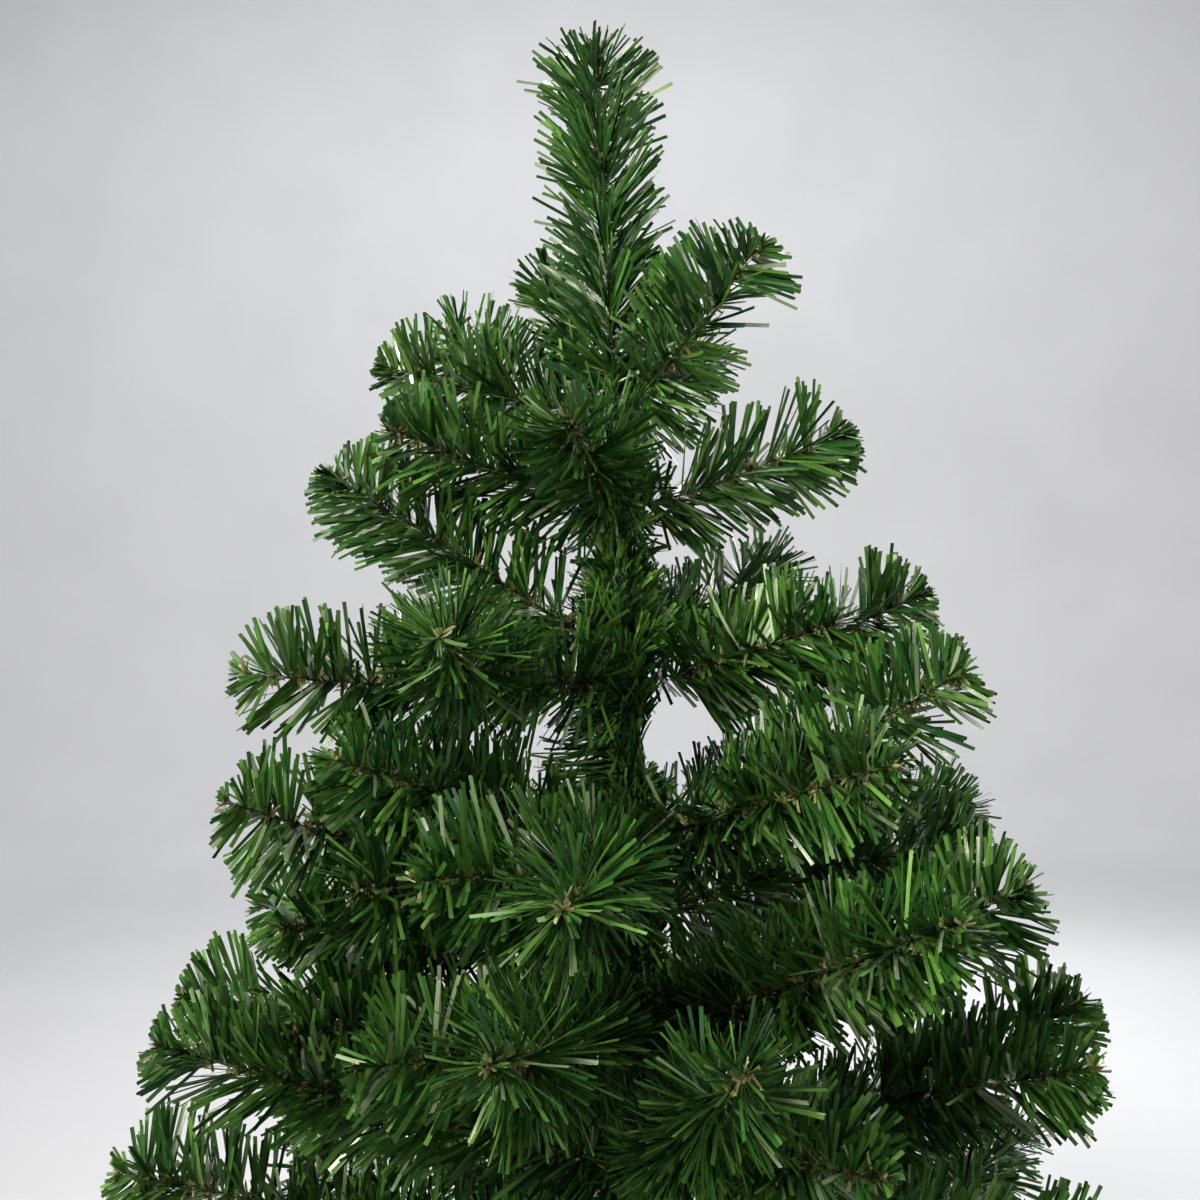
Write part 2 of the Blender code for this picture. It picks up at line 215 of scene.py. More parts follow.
wirePlan = {
    "poleTop": 0.994,
    "treeHeight": 1.20,
    "tipReach": 0.010,  # of the needles past the end of a wire
    "pathSteps": 12,
    "limbTier": "k",  # its boughs start with a bare limb
    "limbLength": 0.050,
    "sideLength": 0.110,
    "coreRadius": 0.0046,  # a side twig keeps this, twice, and the space from every other wire
    "spaceBetween": 0.0012,
    "collarRadius": 0.0130,
    "poleSides": 12,  # of the solid's collar, which the wires butt against
    "seed": 11,
}


def polar(radius, heading, z):
    angle = math.radians(heading)
    return Vector((radius * math.cos(angle), radius * math.sin(angle), z))


def wirePath(start, heading, rise, bend, length):
    points = [start]
    steps = wirePlan["pathSteps"]
    for i in range(steps):
        slope = math.radians(rise + bend * ((i + 0.5) / steps - 0.5))
        points.append(points[-1] + polar(math.cos(slope), heading, math.sin(slope)) * (length / steps))
    return points


def placeOn(path, distance):
    step = (path[1] - path[0]).length
    i = min(int(distance / step), len(path) - 2)
    direction = (path[i + 1] - path[i]).normalized()
    return path[i] + direction * (distance - i * step), direction


def partOf(path, first, last, steps):
    return [placeOn(path, first + (last - first) * i / steps)[0] for i in range(steps + 1)]


def collarReach(heading):
    half = 180 / wirePlan["poleSides"]
    off = (heading + half) % (2 * half) - half
    return wirePlan["collarRadius"] * math.cos(math.radians(off))


def samplePath(path, spacing=0.003):
    found = []
    for a, b in zip(path, path[1:]):
        steps = max(1, math.ceil((b - a).length / spacing))
        found += [a.lerp(b, i / steps) for i in range(steps)]
    return found + [path[-1]]


def hasRoom(path, taken):
    tree = kdtree.KDTree(len(taken))
    for i, p in enumerate(taken):
        tree.insert(p, i)
    tree.balance()
    room = 2 * wirePlan["coreRadius"] + 2 * wirePlan["spaceBetween"]
    return all(tree.find(p)[2] > room for p in samplePath(path))


def sideTwigs(chance, path, length, given, count, taken):
    if not given:
        first = chance.choice((-1, 1))
        given = []
        for j in range(count):
            turn = first * (-1) ** j * chance.uniform(36, 46)
            rise = chance.uniform(4, 12)
            given.append((0.40 + 0.14 * j, turn, rise, wirePlan["sideLength"] * chance.uniform(0.92, 1.08)))
    twigs = []
    for share, turn, rise, size in given:
        start, direction = placeOn(path, share * length)
        heading = math.degrees(math.atan2(direction.y, direction.x))
        for side in (turn, -turn):
            twig = wirePath(start, heading + side, rise, 0, size)
            if hasRoom(twig, taken):
                twigs.append({"path": twig, "length": size, "kind": "side"})
                break
    return twigs


def planTree():
    # every mass as a list of wires, the main one first, and every limb as a path
    chance = random.Random(wirePlan["seed"])
    top = Vector((0, 0, wirePlan["poleTop"] + gap))
    leaderLength = wirePlan["treeHeight"] - wirePlan["tipReach"] - top.z
    masses = {"leader": [{"path": wirePath(top, 0, 90, 0, leaderLength), "length": leaderLength,
                          "kind": "leader"}]}
    limbs, given, counts = {}, {}, {}
    for tier, (height, count, boughs) in tierPlan.items():
        for k, (heading, rise, bend, length, *twigs) in enumerate(boughs, 1):
            path = wirePath(polar(collarReach(heading) + gap, heading, height), heading, rise, bend, length)
            name = f"bough_{tier}{k}"
            kind = "bough"
            if tier == wirePlan["limbTier"]:
                limb = wirePlan["limbLength"]
                limbs[f"limb_{tier}{k}"] = {"path": partOf(path, 0, limb, 3), "length": limb, "kind": "limb"}
                path = partOf(path, limb + gap, length, wirePlan["pathSteps"])
                length -= limb + gap
                kind = "onLimb"
            masses[name] = [{"path": path, "length": length, "kind": kind}]
            given[name] = twigs[0] if twigs else ()
            counts[name] = count
    for name in given:
        main = masses[name][0]
        others = [wire for other, mass in masses.items() if other != name for wire in mass]
        taken = [p for wire in others for p in samplePath(wire["path"])]
        masses[name] += sideTwigs(chance, main["path"], main["length"], given[name], counts[name], taken)
    return masses, limbs


masses, limbs = planTree()
wires = [wire for mass in masses.values() for wire in mass]
massNames, limbNames = list(masses), list(limbs)
wireTotal = sum(wire["length"] for wire in wires)
print(f"plan: {len(masses)} boughs, {len(wires)} wires, {wireTotal:.2f} m of wire")


def alongPath(path, distances):
    # places, smooth directions and two square directions, level and up, at these distances
    points = np.array([tuple(p) for p in path])
    tangents = np.gradient(points, axis=0)
    step = np.linalg.norm(points[1] - points[0])
    at = np.clip(np.asarray(distances) / step, 0, len(points) - 1 - 1e-6)
    i = at.astype(int)
    part = (at - i)[:, None]
    places = points[i] * (1 - part) + points[i + 1] * part
    ways = tangents[i] * (1 - part) + tangents[i + 1] * part
    ways /= np.linalg.norm(ways, axis=1)[:, None]
    level = np.cross(ways, (0.0, 0.0, 1.0))
    flat = np.linalg.norm(level, axis=1)[:, None]
    level = np.where(flat > 0.01, level / np.maximum(flat, 0.01), (1.0, 0.0, 0.0))
    return places, ways, level, np.cross(level, ways)


# Needles: strips of PVC film, clamped in the wire in small fans that wind round it

needles = {
    "length": 0.0415,  # of a strip, from the wire to its cut end
    "radius": 0.034,  # of a brush
    "tipReach": (0.004, 0.010),  # past the end of the wire
    "tipRounding": 0.012,  # how far the edge of the brush lies behind that
    "leaderRounding": 0.007,
    "perMetre": 3500,  # strips on a metre of wire
    "fanSize": (3, 7),
    "fanSpacing": 0.0008,  # between the roots of a fan, along the wire
    "fanSpread": 2.0,  # degrees between neighbours in a fan
    "pitch": 0.025,  # one turn of the wire
    "wander": 0.42,  # radians off the winding
    "loose": 0.24,  # share of the fans that stand anywhere round the wire
    "stray": 0.10,  # share of the strips that stand away from their fan
    "strayInside": 0.35,  # the same close to the pole
    "width": 0.0020,
    "sweep": 57,  # degrees between a strip and its wire
    "sweepRise": 7,  # more on the upper side of a bough, less below
    "tipSweep": 47,
    "rootSweep": 24,  # more at the start of a wire, so that the brush is full up to the pole
    "rootReach": 0.030,
    "bareStart": {"bough": 0.004, "onLimb": 0.002, "side": 0.004, "leader": 0.002},
    # degrees by which a brush was fluffed out more than the others or, below 0, left combed to its wire
    "fluffed": {"leader": -8, "bough_a1": 14, "bough_c1": 5, "bough_d1": 8, "bough_f1": 12},
    "cut": {"leader": 1.08, "bough_a2": 0.72, "bough_a3": 0.88},  # their strips are longer or shorter
    # painted shade: half the leader's fans are dealt deep green so that its brush looks shaded
    "paintedShade": {"leader": 0.5},  # share of the fans that are deep green whatever they were dealt
    "ownColour": 0.45,  # share of the strips that were dealt a colour of their own
    "insideReach": 0.09,  # from the pole, where more strips are pushed out of line
    "tipZone": 0.024,
    # how much it varies, in degrees: from fan to fan, from strip to strip and on the strays
    "turnSpread": (5, 8),
    "strayTurn": 0.5,  # radians
    "sweepSpread": (5, 3, 14),
    "twistSpread": (15, 14, 40),
    "seed": 5,
}
# share of the fans, colour and roughness of the film: the pale, shiniest one gives the white glints, and its
# pale grey base colour is partly painted sheen
needleColours = {
    "needles_mid_green": (0.38, "#466e32", 0.27),
    "needles_deep_green": (0.33, "#2f5827", 0.28),
    "needles_blue_green": (0.03, "#2d5433", 0.25),
    "needles_bright_green": (0.20, "#5d8641", 0.25),
    # partly painted sheen: a grey-green film whose base colour is paled towards strips that catch the light
    "needles_grey_green_painted_sheen": (0.06, "#829478", 0.12),
}


def fanned(chance, count, sizes):
    # repeats count fans into their strips: which fan a strip is in, and its place from the fan's middle
    number = chance.integers(*sizes, count)
    fan = np.repeat(np.arange(count), number)
    first = np.repeat(np.cumsum(number) - number, number)
    return fan, np.arange(len(fan)) - first - (number[fan] - 1) / 2


def reachOfStrip(back, sweep, tipReach, rounding):
    # longest strip, rooted this far behind the end of the wire, that stays in the brush's rounded end
    bow = rounding * (np.sin(sweep) / needles["radius"]) ** 2
    return (np.sqrt(np.cos(sweep) ** 2 + 4 * bow * (back + tipReach)) - np.cos(sweep)) / (2 * bow)


def windingTurn(wire, distance):
    # which way round the wire the fans point here; others point the opposite way
    return 2 * math.pi * (distance / needles["pitch"] + wire["phase"])


def varied(chance, spread, fans, fan, stray):
    ofFan, ofStrip, ofStray = spread
    count = len(fan)
    return (chance.normal(0, ofFan, fans)[fan] + chance.normal(0, ofStrip, count)
            + stray * chance.normal(0, ofStray, count))


def brushStrips(chance, wire):
    start = needles["bareStart"][wire["kind"]]
    wire["phase"] = chance.random()
    run = wire["length"] - start
    fans = int(run * needles["perMetre"] / (sum(needles["fanSize"]) - 1) * 2)
    fan, place = fanned(chance, fans, needles["fanSize"])
    count = len(fan)
    root = start + run * (np.arange(fans) + chance.random(fans)) / fans
    turn = windingTurn(wire, root) + math.pi * chance.integers(0, 2, fans)
    turn += chance.normal(0, needles["wander"], fans)
    turn = np.where(chance.random(fans) < needles["loose"], chance.random(fans) * 2 * math.pi, turn)
    at = np.clip(root[fan] + place * needles["fanSpacing"], start, wire["length"])
    places, ways, level, up = alongPath(wire["path"], at)
    # near the pole more strips are pushed out of line
    inside = np.clip(1 - np.hypot(places[:, 0], places[:, 1]) / needles["insideReach"], 0, 1)
    stray = chance.random(count) < needles["stray"] + (needles["strayInside"] - needles["stray"]) * inside
    fanTurn, stripTurn = np.radians(needles["turnSpread"])
    turns = turn[fan] + place * chance.normal(0, fanTurn, fans)[fan]
    turns += chance.normal(0, stripTurn, count) + stray * chance.normal(0, needles["strayTurn"], count)
    radial = np.cos(turns)[:, None] * level + np.sin(turns)[:, None] * up
    back = wire["length"] - at
    nearTip = np.clip(1 - back / needles["tipZone"], 0, 1)
    # each brush was fluffed in its own way
    sweep = needles["sweep"] + wire.get("fluffed", 0) + chance.normal(0, 4)
    sweep = sweep + (needles["sweepRise"] + chance.normal(0, 5)) * radial[:, 2]
    sweep += needles["rootSweep"] * np.clip(1 - at / needles["rootReach"], 0, 1)
    sweep += (needles["tipSweep"] - sweep) * nearTip + chance.normal(0, 5 + 4 * nearTip)
    sweep += varied(chance, needles["sweepSpread"], fans, fan, stray)
    sweep -= place * np.abs(chance.normal(needles["fanSpread"], 1, fans))[fan]
    sweep = np.radians(np.clip(sweep, 16, 104))
    length = needles["length"] * wire.get("cut", 1) * chance.normal(1, 0.03)
    length = length * chance.normal(1, 0.06, fans)[fan] * np.clip(chance.normal(1, 0.03, count), 0.8, 1.1)
    tipReach, rounding = chance.uniform(*needles["tipReach"]), needles["tipRounding"]
    if wire["kind"] == "leader":
        tipReach, rounding = needles["tipReach"][1], needles["leaderRounding"]
    longest = reachOfStrip(back, sweep, tipReach, rounding)
    length = np.minimum(length, longest * chance.uniform(0.78, 1.03, count))
    return {
        "root": places,
        "way": radial * np.sin(sweep)[:, None] + ways * np.cos(sweep)[:, None],
        "flat": ways * np.sin(sweep)[:, None] - radial * np.cos(sweep)[:, None],
        "length": np.maximum(length * np.where(stray, chance.uniform(0.7, 1, count), 1), 0.005),
        "width": needles["width"] * chance.normal(1, 0.07, count),
        "twist": np.radians(varied(chance, needles["twistSpread"], fans, fan, stray)),
        "moreTwist": np.radians(chance.normal(0, 14, count)),
        "bend": chance.normal(0, 0.05, fans)[fan] + chance.normal(0, 0.04, count) * np.where(stray, 3, 1),
        "colour": dealColours(chance, fans, fan, wire.get("paintedShade", 0)),
    }


def dealColours(chance, fans, fan, paintedShade):
    shares = [share for share, *_ in needleColours.values()]
    odd = chance.random(len(fan)) < needles["ownColour"]
    dealt = np.where(odd, chance.choice(len(shares), len(fan), p=shares),
                     chance.choice(len(shares), fans, p=shares)[fan])
    # painted shade: these fans are made deep green to darken the brush
    return np.where(fan % 10 < 10 * paintedShade, list(needleColours).index("needles_deep_green"), dealt)


stripStations = (0.0, 0.28, 0.64, 1.0)  # along a strip, so that it can bend and twist


def stripMesh(name, strips, finish, rootWidth=0.55, places=stripStations):
    count, stations = len(strips["length"]), len(places)
    along = np.array(places)[None, :]
    length = strips["length"][:, None]
    normal = np.cross(strips["way"], strips["flat"])
    twist = strips["twist"][:, None] + strips["moreTwist"][:, None] * along
    across = (np.cos(twist)[..., None] * strips["flat"][:, None] + np.sin(twist)[..., None] * normal[:, None])
    sag = strips["bend"][:, None] * length * along ** 2
    middle = (strips["root"][:, None] + strips["way"][:, None] * (length * along)[..., None]
              + normal[:, None] * sag[..., None])
    half = strips["width"][:, None] / 2 * np.where(along == 0, rootWidth, 1.0)
    points = np.stack([middle - across * half[..., None], middle + across * half[..., None]], axis=2)
    corner = np.arange(count)[:, None] * stations * 2 + np.arange(stations - 1)[None, :] * 2
    faces = np.stack([corner, corner + 1, corner + 3, corner + 2], axis=-1).reshape(-1, 4)
    # UV in millimetres along and across, each strip from a place of its own
    offset = (np.arange(count) * 7.31 % 997)[:, None]
    v = offset + length * along * 1000
    u = np.stack([-half, half], axis=2) * 1000 + (np.arange(count) * 3.17 % 991)[:, None, None]
    uv = np.stack([u, np.repeat(v[..., None], 2, axis=2)], axis=-1)
    return meshFromArrays(name, points.reshape(-1, 3), faces, finish, uv.reshape(-1, 2))


def mergeStrips(lots):
    return {key: np.concatenate([lot[key] for lot in lots]) for key in lots[0]}


def chosen(strips, wanted):
    return {key: values[wanted] for key, values in strips.items()}


# PVC film, calendered and slit: an even green with a soft shine and faint lines along each strip
def pvcFilm(name, hexColour, roughness):
    made, tree, shader = newMaterial(name)
    setShader(shader, IOR=1.53, Metallic=0.0, Roughness=roughness)
    uvMap = addNode(tree, "ShaderNodeUVMap", {"uv_map": "strip"})
    # lines 0.35 mm apart across the strip and long along it
    stretch = addNode(tree, "ShaderNodeVectorMath", {"operation": "MULTIPLY"})
    tree.links.new(uvMap.outputs["UV"], stretch.inputs[0])
    stretch.inputs[1].default_value = (1 / 0.35, 1 / 14.0, 1.0)
    lines = addNode(tree, "ShaderNodeTexNoise", {"noise_dimensions": "2D", "Scale": 1.0, "Detail": 1.0},
                    Vector=stretch.outputs[0])
    island = addNode(tree, "ShaderNodeNewGeometry").outputs["Random Per Island"]
    shade = addNode(tree, "ShaderNodeMapRange", {"To Min": 0.58, "To Max": 1.24}, Value=island)
    lineShade = addNode(tree, "ShaderNodeMapRange", {"From Min": 0.3, "From Max": 0.7, "To Min": 0.9,
                                                    "To Max": 1.1}, Value=lines.outputs["Fac"])
    both = addNode(tree, "ShaderNodeMath", {"operation": "MULTIPLY"})
    tree.links.new(shade.outputs[0], both.inputs[0])
    tree.links.new(lineShade.outputs[0], both.inputs[1])
    tint = addNode(tree, "ShaderNodeHueSaturation", {"Color": linear(hexColour)}, Value=both.outputs[0])
    tree.links.new(tint.outputs["Color"], shader.inputs["Base Color"])
    # each strip has its own polish, so that a few of them flash in the light
    gloss = addNode(tree, "ShaderNodeMapRange", {"From Min": 0.3, "From Max": 0.7, "To Min": roughness - 0.06,
                                                 "To Max": roughness + 0.08}, Value=lines.outputs["Fac"])
    spread = addNode(tree, "ShaderNodeMath", {"operation": "MULTIPLY"})
    tree.links.new(island, spread.inputs[0])
    spread.inputs[1].default_value = 7.0
    other = addNode(tree, "ShaderNodeMath", {"operation": "FRACT"})
    tree.links.new(spread.outputs[0], other.inputs[0])
    polish = addNode(tree, "ShaderNodeMapRange", {"To Min": 0.55, "To Max": 1.25}, Value=other.outputs[0])
    rough = addNode(tree, "ShaderNodeMath", {"operation": "MULTIPLY"})
    tree.links.new(gloss.outputs[0], rough.inputs[0])
    tree.links.new(polish.outputs[0], rough.inputs[1])
    tree.links.new(rough.outputs[0], shader.inputs["Roughness"])
    bump = addNode(tree, "ShaderNodeBump", {"Strength": 0.12, "Distance": 0.0002},
                   Height=lines.outputs["Fac"])
    tree.links.new(bump.outputs["Normal"], shader.inputs["Normal"])
    return made


def clearOfPole(strips):
    # leaves out strips that would pass through the pole
    keep = np.ones(len(strips["length"]), bool)
    for part in (0.35, 0.7, 1.0):
        p = strips["root"] + strips["way"] * (strips["length"] * part)[:, None]
        keep &= (np.hypot(p[:, 0], p[:, 1]) > 0.010) | (p[:, 2] > wirePlan["poleTop"])
    return chosen(strips, keep)


# The crown stands open to the right of the pole, below the tier at 832 mm
opening = {
    "middle": (0.031, 0.798),  # across and up
    "half": (0.0225, 0.020),
    "depth": 0.075,  # to the front and to the back of the pole
}


def clearOfOpening(strips):
    # leaves out strips that would cross the opening
    keep = np.ones(len(strips["length"]), bool)
    for part in (0.0, 0.25, 0.5, 0.75, 1.0):
        p = strips["root"] + strips["way"] * (strips["length"] * part)[:, None]
        off = (p[:, [0, 2]] - opening["middle"]) / opening["half"]
        keep &= (np.linalg.norm(off, axis=1) > 1) | (np.abs(p[:, 1]) > opening["depth"])
    return chosen(strips, keep)


def makeNeedles():
    chance = np.random.default_rng(needles["seed"])
    for change in ("fluffed", "cut", "paintedShade"):
        for name, value in needles[change].items():
            masses[name][0][change] = value
    strips = clearOfOpening(clearOfPole(mergeStrips([brushStrips(chance, wire) for wire in wires])))
    total = len(strips["length"])
    for i, (name, (_, hexColour, roughness)) in enumerate(needleColours.items()):
        finish = pvcFilm(name + "_pvc_film", hexColour, roughness)
        piece = stripMesh(name, chosen(strips, strips["colour"] == i), finish)
        standsFor(piece, massNames)
        print(f"{name}: {2 * len(piece.data.polygons)} triangles")
    print(f"needles: {total} strips")


makeNeedles()


# Cut ends: knots of short olive brown strips, a pair to each half turn, where the winding is open

cutEnds = {
    # where the two rows of knots on a wire lie, in radians from its level sides: middle and spread
    "row": {"bough": (0, 0.6), "onLimb": (0, 0.6), "side": (0, 0.6), "leader": (math.pi / 2, 0.3)},
    "scatter": 0.0012,  # along the wire
    "knot": (12, 18),  # strips in a knot
    "strip": 0.0005,  # how far their roots lie off the knot's middle
    "spread": 40,  # degrees off the knot's own direction
    "length": (0.0042, 0.0066),
    "width": 0.0018,
    "knotSize": (0.65, 1.1),  # of its strips' length, from knot to knot
    "wireSize": (0.75, 1.1),  # and from wire to wire
    "wander": 0.30,  # radians off the row
    "clear": (0.006, 0.003),  # bare at the start and at the end of a row
    "twist": 35,  # degrees
    "moreTwist": 85,
    "bend": 0.8,
    "atTip": 10,
    "tipLength": 0.0058,
    "tipSweep": (25, 75),
    "colours": {"cut_ends_olive": "#82885a", "cut_ends_brown": "#6e6a46"},
    "shares": (0.6, 0.4),  # of the two colours
    "roughness": 0.5,
    "stations": (0.0, 0.5, 1.0),
    "seed": 8,
}


def makeCutEnds():
    chance = np.random.default_rng(cutEnds["seed"])
    lots = []
    for wire in wires:
        start = needles["bareStart"][wire["kind"]] + cutEnds["clear"][0]
        end = wire["length"] - cutEnds["clear"][1]
        # the first place where the winding leaves the wire open towards the rows
        halfTurn = needles["pitch"] / 2
        row = chance.normal(*cutEnds["row"][wire["kind"]]) / math.pi
        offset = (row - 0.5 - 2 * wire["phase"] - start / halfTurn) % 1
        # both halves of a strip stick out, on the two open sides of the wire
        root = np.repeat(np.arange(start + offset * halfTurn, end, halfTurn), 2)
        knots = len(root)
        middle = windingTurn(wire, root) + math.pi * (np.arange(knots) + 0.5)
        middle += chance.normal(0, cutEnds["wander"], knots)
        root += chance.normal(0, cutEnds["scatter"], knots)
        fan, _ = fanned(chance, knots, cutEnds["knot"])
        lean = np.radians(chance.normal(0, cutEnds["spread"], len(fan)))
        about = chance.random(len(fan)) * math.pi
        at = root[fan] + chance.normal(0, cutEnds["strip"], len(fan))
        turns = middle[fan] + lean * np.cos(about)
        sweep = math.pi / 2 + lean * np.sin(about)
        length = chance.uniform(*cutEnds["length"], len(fan))
        length *= chance.uniform(*cutEnds["knotSize"], knots)[fan]
        length *= chance.uniform(*cutEnds["wireSize"])
        tips = cutEnds["atTip"]
        at = np.clip(np.concatenate([at, np.full(tips, wire["length"] - 0.0006)]), 0, wire["length"])
        turns = np.concatenate([turns, 2 * math.pi * (np.arange(tips) + chance.random(tips)) / tips])
        sweep = np.concatenate([sweep, np.radians(chance.uniform(*cutEnds["tipSweep"], tips))])
        length = np.concatenate([length, cutEnds["tipLength"] * chance.uniform(0.6, 1, tips)])
        places, ways, level, up = alongPath(wire["path"], at)
        radial = np.cos(turns)[:, None] * level + np.sin(turns)[:, None] * up
        count = len(at)
        lots.append({
            "root": places,
            "way": radial * np.sin(sweep)[:, None] + ways * np.cos(sweep)[:, None],
            "flat": ways * np.sin(sweep)[:, None] - radial * np.cos(sweep)[:, None],
            "length": length,
            "width": cutEnds["width"] * chance.normal(1, 0.15, count),
            "twist": np.radians(chance.normal(0, cutEnds["twist"], count)),
            "moreTwist": np.radians(chance.normal(0, cutEnds["moreTwist"], count)),
            "bend": chance.normal(0, cutEnds["bend"], count),
            "colour": chance.choice(2, count, p=cutEnds["shares"]),
        })
    strips = mergeStrips(lots)
    for i, (name, hexColour) in enumerate(cutEnds["colours"].items()):
        finish = pvcFilm(name + "_pvc_film", hexColour, cutEnds["roughness"])
        piece = stripMesh(name, chosen(strips, strips["colour"] == i), finish, 1.0, cutEnds["stations"])
        standsFor(piece, massNames)
        print(f"{name}: {2 * len(piece.data.polygons)} triangles")
    print(f"cut ends: {len(strips['length'])} strips")


makeCutEnds()


# Twisted wire: two strands of galvanised steel wire, and two heavier ones in the limbs

twistedWire = {
    "strand": 0.00045,  # radius of a strand
    "limbStrand": 0.0014,
    "pitch": 0.0080,
    "step": 0.0016,
    "sides": 4,
    "phaseStep": 1.7,  # radians between the twists of one wire and the next
}


def strandTube(wire, strand, radius, phase):
    steps = max(2, round(wire["length"] / twistedWire["step"]))
    distances = np.linspace(0, wire["length"], steps + 1)
    places, ways, level, up = alongPath(wire["path"], distances)
    turn = 2 * math.pi * distances / twistedWire["pitch"] + math.pi * strand + phase
    centre = places + radius * (np.cos(turn)[:, None] * level + np.sin(turn)[:, None] * up)
    sides = twistedWire["sides"]
    angles = 2 * math.pi * np.arange(sides) / sides
    ring = np.cos(angles)[None, :, None] * level[:, None] + np.sin(angles)[None, :, None] * up[:, None]
    points = (centre[:, None] + ring * radius).reshape(-1, 3)
    low = np.arange(steps)[:, None] * sides + np.arange(sides)[None, :]
    high = np.arange(steps)[:, None] * sides + (np.arange(sides)[None, :] + 1) % sides
    faces = np.stack([low, high, high + sides, low + sides], axis=-1).reshape(-1, 4)
    ends = np.array([range(sides - 1, -1, -1), range(steps * sides, (steps + 1) * sides)])
    return points, np.concatenate([faces, ends])


# Galvanised steel wire: dull grey zinc with painted reflection, dark patches standing in for the needles
# mirrored in it and pale ones for glints
def galvanisedSteel():
    made, tree, shader = newMaterial("galvanised_steel_wire")
    setShader(shader, Metallic=1.0, Roughness=0.3)
    place = addNode(tree, "ShaderNodeTexCoord").outputs["Object"]
    # painted reflection: patches about 6 mm long, dark for the needles mirrored in the wire, pale for glints
    paintedReflectionPatches = addNode(tree, "ShaderNodeTexNoise", {"Scale": 1 / 0.006, "Detail": 3.0}, Vector=place)
    # painted reflection: the dark stop stands in for mirrored needles, the pale one for a glint
    stops = ((0.35, "#3c3b34"), (0.6, "#77766e"), (0.75, "#cfcfc9"))
    colour = colourRamp(tree, stops, paintedReflectionPatches.outputs["Fac"])
    tree.links.new(colour, shader.inputs["Base Color"])
    rough = addNode(tree, "ShaderNodeMapRange", {"To Min": 0.18, "To Max": 0.42},
                    Value=paintedReflectionPatches.outputs["Fac"])
    tree.links.new(rough.outputs[0], shader.inputs["Roughness"])
    return made


def makeWires():
    points, faces, count = [], [], 0
    for i, wire in enumerate(wires + list(limbs.values())):
        radius = twistedWire["limbStrand" if wire["kind"] == "limb" else "strand"]
        for strand in range(2):
            some, quads = strandTube(wire, strand, radius, i * twistedWire["phaseStep"])
            points.append(some)
            faces.append(quads + count)
            count += len(some)
    piece = meshFromArrays("twisted_wires", np.concatenate(points), np.concatenate(faces), galvanisedSteel())
    standsFor(piece, limbNames + massNames)
    print(f"wires: {len(piece.data.polygons)} faces")


makeWires()


# Garland: fine needles wound round the pole, so that it doesn't show between the tiers

garland = {
    "from": 0.345,
    "to": 0.985,
    "perMetre": 15000,
    "fanSize": (2, 6),
    "fanSpacing": 0.0009,
    "radius": 0.0084,  # where the needles leave the pole
    "length": (0.011, 0.021),
    "rootLength": (0.018, 0.037),  # at the collars, where the boughs start
    "rootZone": 0.030,
    "width": 0.0014,
    "lean": (33, 13),  # degrees from upright: middle and spread
    "hanging": 0.22,  # share of the fans that point down
    "skew": 45,
    "stray": 0.20,
    "strayLean": (35, 80),
    "roughness": 0.24,
    "bunchShares": (0.35, 0.25, 0.40),  # of the three colours
    "seed": 21,
    "colours": {
        "garland_mid_green": (0.40, "#4f7c38"),
        "garland_deep_green": (0.30, "#305a28"),
        "garland_bright_green": (0.30, "#74a052"),
    },
}
# two bunches of it stand out to the left, across from the opening
bunches = {
    # heights, degrees round the pole, then middle and spread of heading and lean
    "level": {"strips": 44, "height": (0.769, 0.794), "root": (205, 290), "heading": (181, 8),
              "lean": (90, 7), "length": (0.036, 0.052)},
    "hanging": {"strips": 100, "height": (0.794, 0.828), "root": (150, 270), "heading": (186, 25),
                "lean": (112, 15), "length": (0.018, 0.036)},
}


def leaning(out, lean):
    # the way of strips that lean this far from upright, and their flat side
    up = np.array([0.0, 0.0, 1.0])
    return {"way": out * np.sin(lean)[:, None] + up * np.cos(lean)[:, None],
            "flat": up * np.sin(lean)[:, None] - out * np.cos(lean)[:, None]}


def levelWay(angles):
    return np.stack([np.cos(angles), np.sin(angles), np.zeros(len(angles))], axis=1)


def bunchStrips(chance, bunch):
    count = bunch["strips"]
    root = levelWay(np.radians(chance.uniform(*bunch["root"], count))) * garland["radius"]
    root[:, 2] = chance.uniform(*bunch["height"], count)
    out = levelWay(np.radians(chance.normal(*bunch["heading"], count)))
    return {
        "root": root,
        **leaning(out, np.radians(chance.normal(*bunch["lean"], count))),
        "length": chance.uniform(*bunch["length"], count),
        "width": garland["width"] * chance.normal(1, 0.1, count),
        "twist": np.radians(chance.normal(20, 40, count)),
        "moreTwist": np.radians(chance.normal(0, 30, count)),
        "bend": chance.normal(0, 0.07, count),
        "colour": chance.choice(3, count, p=garland["bunchShares"]),
    }


